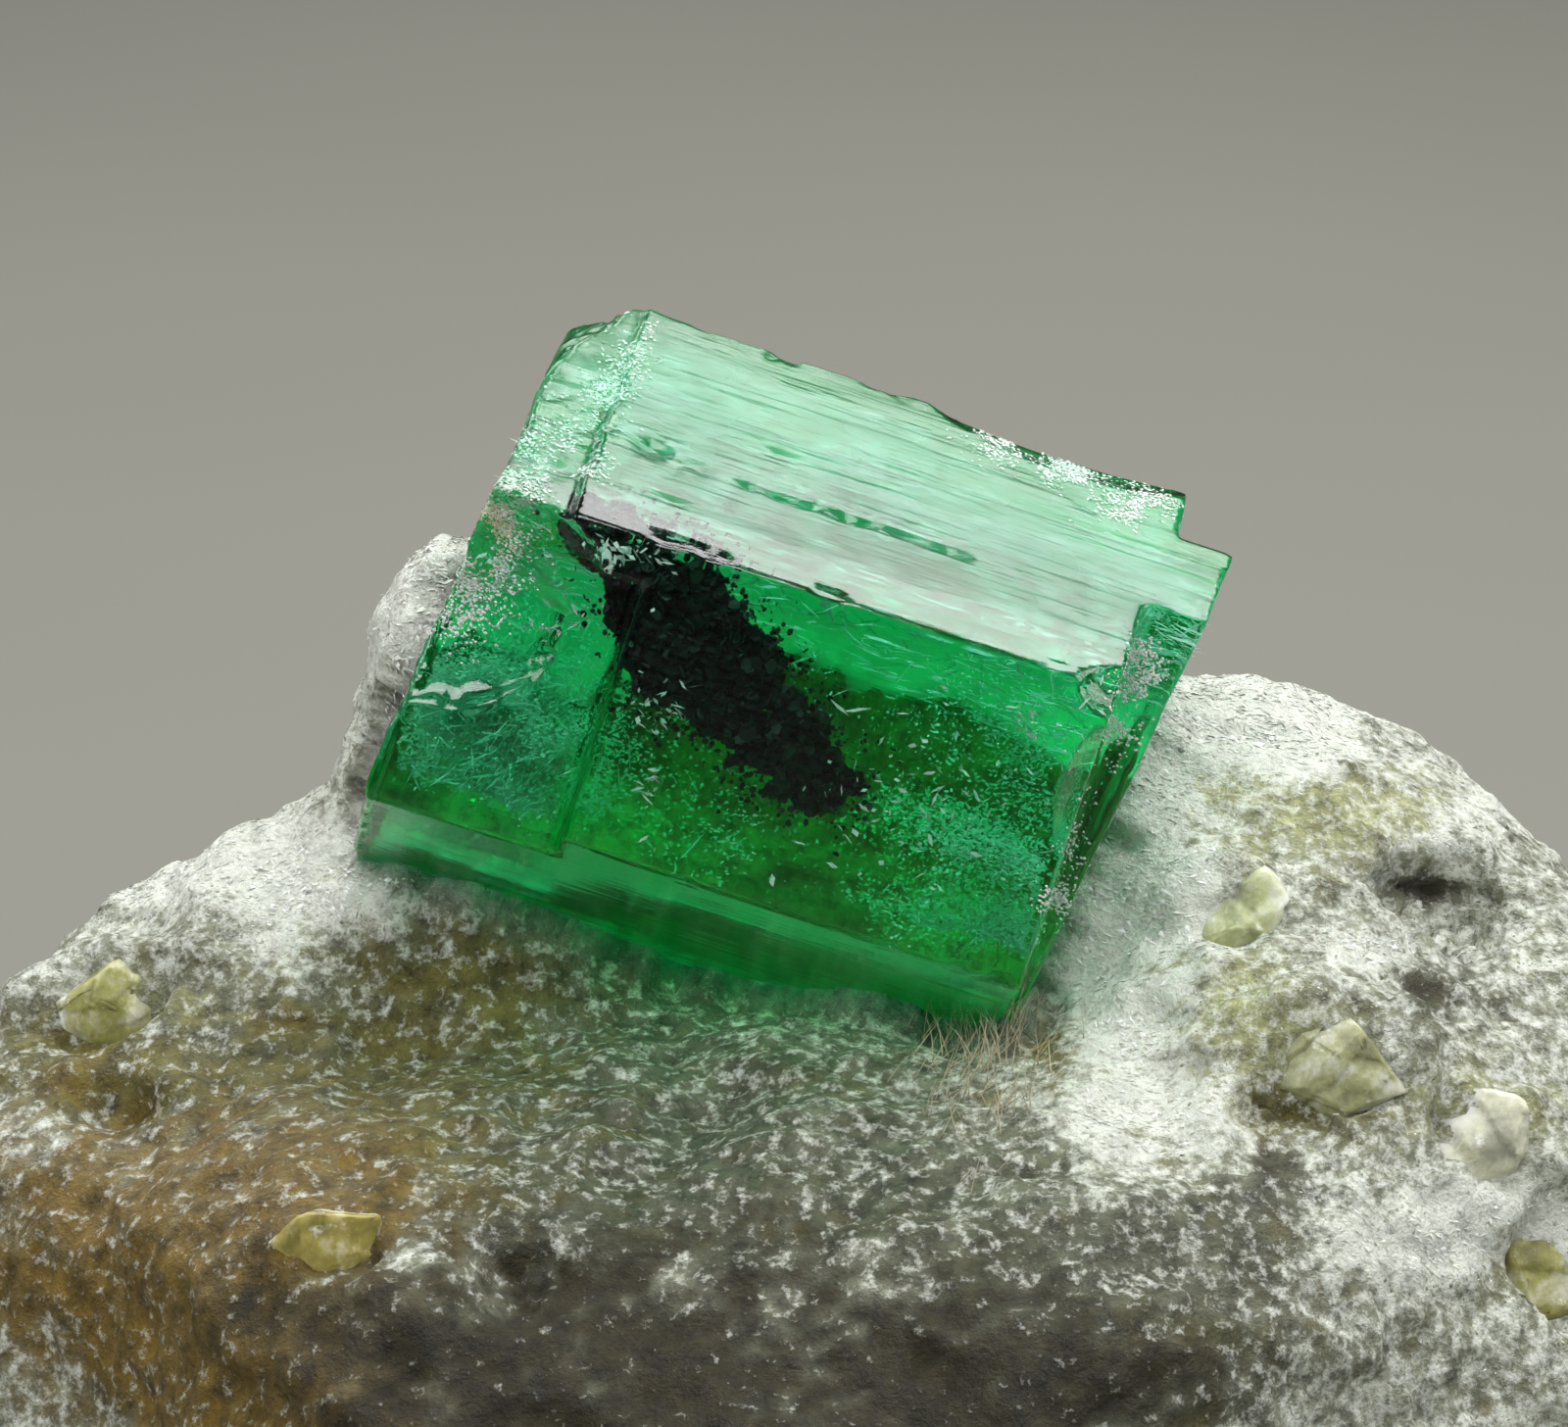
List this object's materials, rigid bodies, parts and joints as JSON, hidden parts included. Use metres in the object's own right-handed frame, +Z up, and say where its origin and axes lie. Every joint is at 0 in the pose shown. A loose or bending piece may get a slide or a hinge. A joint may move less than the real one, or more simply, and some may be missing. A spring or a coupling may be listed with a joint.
{
  "type": "emerald in matrix",
  "caption": "Natural mineral specimen: a hexagonal emerald prism with a dark mica streak, lying on its side in a lump of pale talc schist with olive carbonate grains.",
  "frame": {"origin": "under the middle of the rock, on the flat face that it rests on", "axes": "+Z up, -Y towards the front, where the crystal shows best, +X to the right seen from there"},
  "size_m": [0.0282, 0.0202, 0.0169],
  "materials": {
    "emerald": "clear green beryl, glassy faces with fine growth lines",
    "mica": "black glossy mica flakes",
    "talc_schist": "sugary white to olive-brown, with small bright flakes",
    "carbonate": "waxy, slightly see-through olive to cream"
  },
  "bodies": {
    "root": {"emerald_crystal": "emerald", "mica_inclusion": "mica", "matrix": "talc_schist", "carbonate_grain_1": "carbonate", "carbonate_grain_2": "carbonate", "carbonate_grain_3": "carbonate", "carbonate_grain_4": "carbonate", "carbonate_grain_5": "carbonate", "carbonate_grain_6": "carbonate"}
  },
  "joints": []
}
